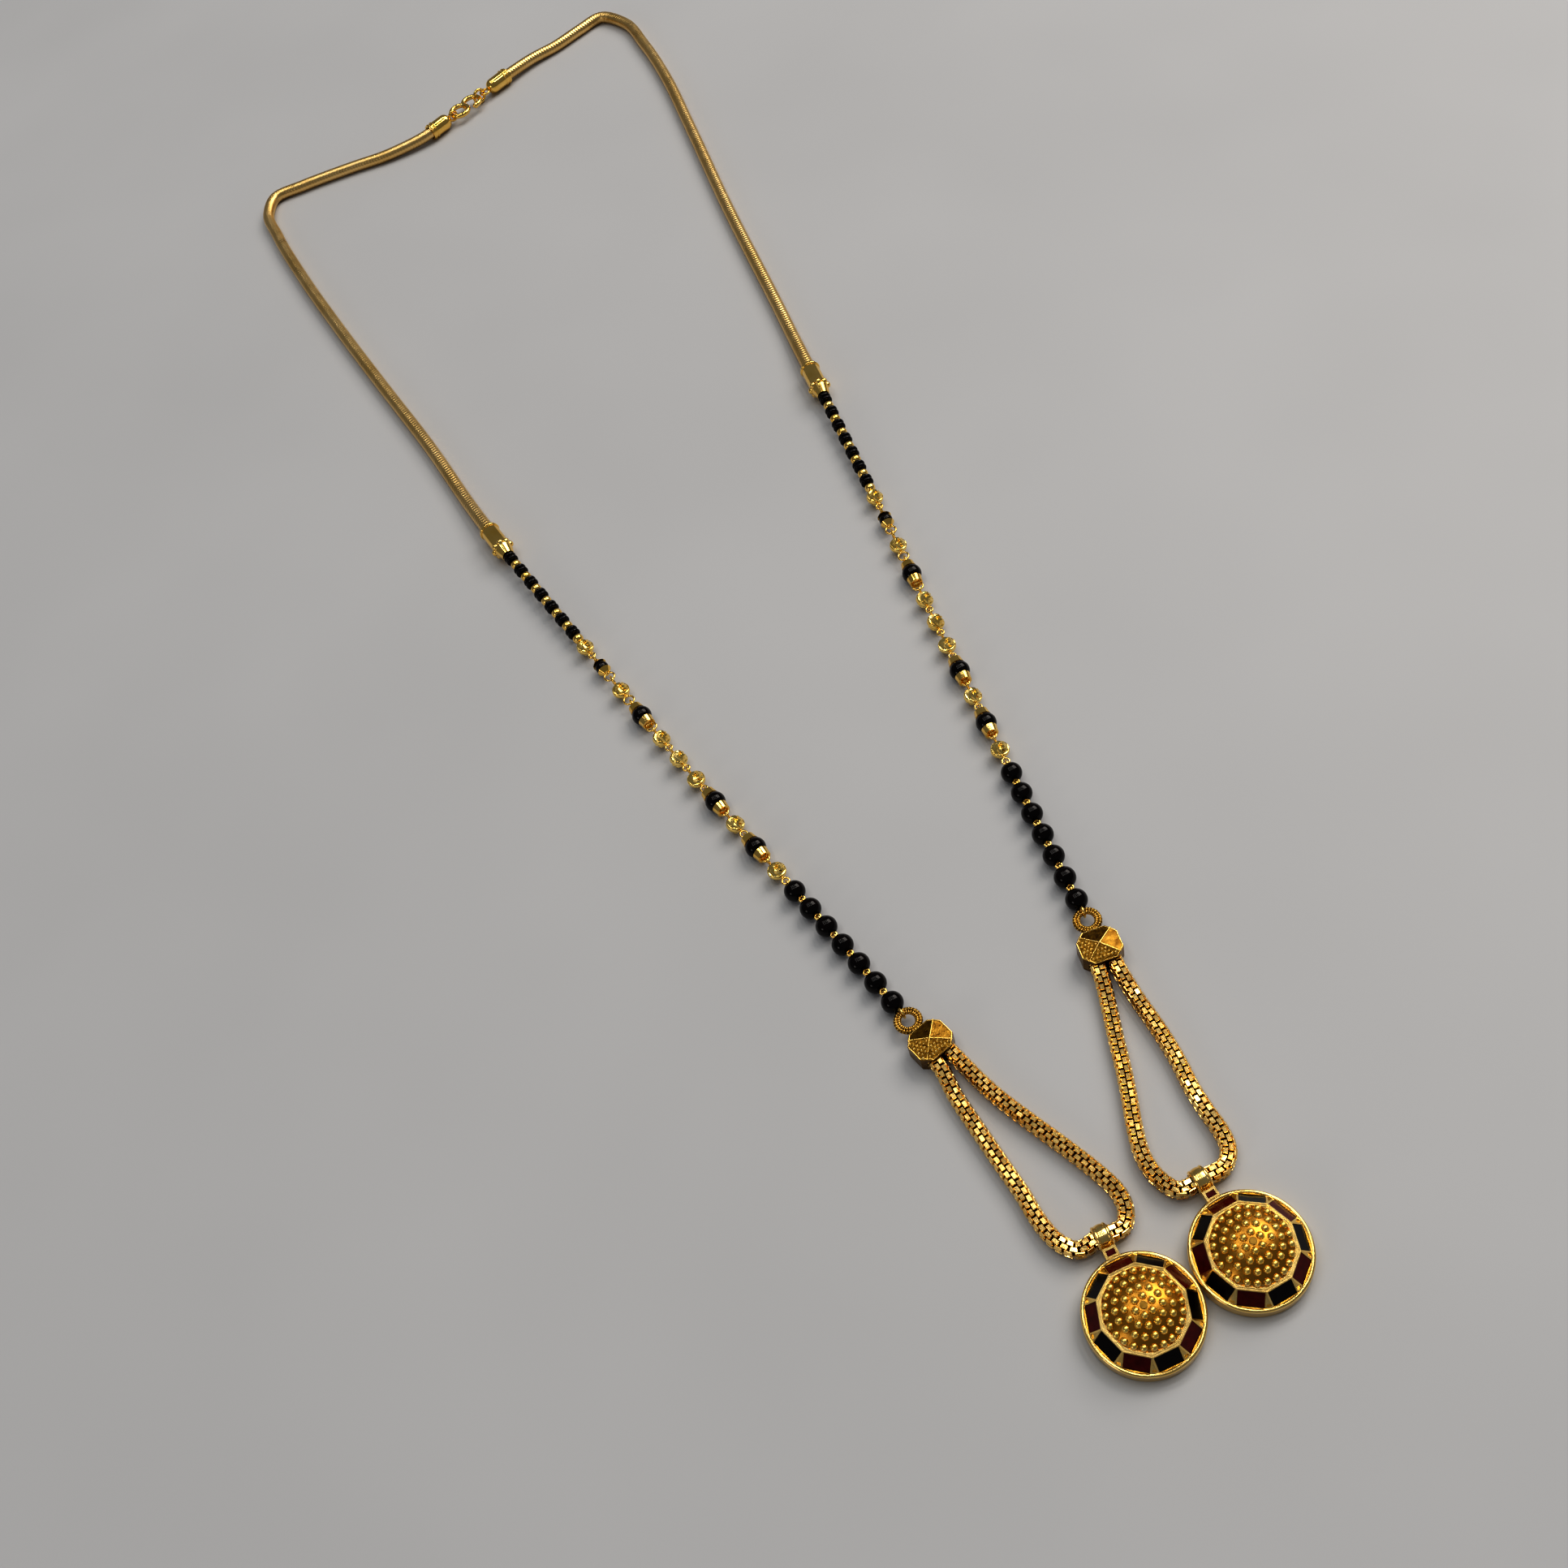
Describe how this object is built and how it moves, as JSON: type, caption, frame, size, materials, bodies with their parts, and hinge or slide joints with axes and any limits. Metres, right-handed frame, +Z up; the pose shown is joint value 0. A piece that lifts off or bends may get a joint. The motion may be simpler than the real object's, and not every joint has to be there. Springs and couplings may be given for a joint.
{
  "type": "mangalsutra necklace",
  "caption": "Necklace loop of black and gold beads on a round snake chain, with two domed gold pendants framed in red and black enamel on mesh chain loops",
  "frame": {"origin": "bottom centre of the necklace's bounding box, on the table it lies on", "axes": "+Z up from the table, +Y along the necklace from the pendants to the clasp, +X to the right as seen from above with the clasp at the far end"},
  "size_m": [0.0903, 0.3047, 0.006],
  "materials": {
    "yellow_gold": "polished 22 karat gold",
    "woven_gold": "woven gold wire",
    "satin_gold": "fine ribbed satin gold",
    "black_glass": "opaque black glass, polished",
    "red_enamel": "glossy dark red enamel",
    "black_enamel": "glossy black enamel"
  },
  "bodies": {
    "root": {"pendant_left": "yellow_gold", "pendant_right": "yellow_gold", "red_enamel_left": "red_enamel", "red_enamel_right": "red_enamel", "black_enamel_left": "black_enamel", "black_enamel_right": "black_enamel", "mesh_chain_left": "woven_gold", "mesh_chain_right": "woven_gold", "connector_left": "yellow_gold", "connector_right": "yellow_gold", "eye_pins_left": "yellow_gold", "eye_pins_right": "yellow_gold", "gold_seeds_left": "yellow_gold", "gold_seeds_right": "yellow_gold", "black_rondelles_left": "black_glass", "black_rondelles_right": "black_glass", "end_cap_left": "yellow_gold", "end_cap_right": "yellow_gold", "snake_chain_left": "satin_gold", "snake_chain_right": "satin_gold", "clasp_cap_left": "yellow_gold", "clasp_cap_right": "yellow_gold", "black_bead_left_1": "black_glass", "black_bead_left_2": "black_glass", "black_bead_left_3": "black_glass", "black_bead_left_4": "black_glass", "black_bead_left_5": "black_glass", "black_bead_left_6": "black_glass", "black_bead_left_7": "black_glass", "black_bead_left_8": "black_glass", "black_bead_left_9": "black_glass", "black_bead_left_10": "black_glass", "black_bead_left_11": "black_glass", "black_bead_right_1": "black_glass", "black_bead_right_2": "black_glass", "black_bead_right_3": "black_glass", "black_bead_right_4": "black_glass", "black_bead_right_5": "black_glass", "black_bead_right_6": "black_glass", "black_bead_right_7": "black_glass", "black_bead_right_8": "black_glass", "black_bead_right_9": "black_glass", "black_bead_right_10": "black_glass", "black_bead_right_11": "black_glass", "gold_ball_left_1": "yellow_gold", "gold_ball_left_2": "yellow_gold", "gold_ball_left_3": "yellow_gold", "gold_ball_left_4": "yellow_gold", "gold_ball_left_5": "yellow_gold", "gold_ball_left_6": "yellow_gold", "gold_ball_left_7": "yellow_gold", "gold_ball_right_1": "yellow_gold", "gold_ball_right_2": "yellow_gold", "gold_ball_right_3": "yellow_gold", "gold_ball_right_4": "yellow_gold", "gold_ball_right_5": "yellow_gold", "gold_ball_right_6": "yellow_gold", "gold_ball_right_7": "yellow_gold", "clasp_hook": "yellow_gold", "clasp_ring": "yellow_gold"}
  },
  "joints": []
}
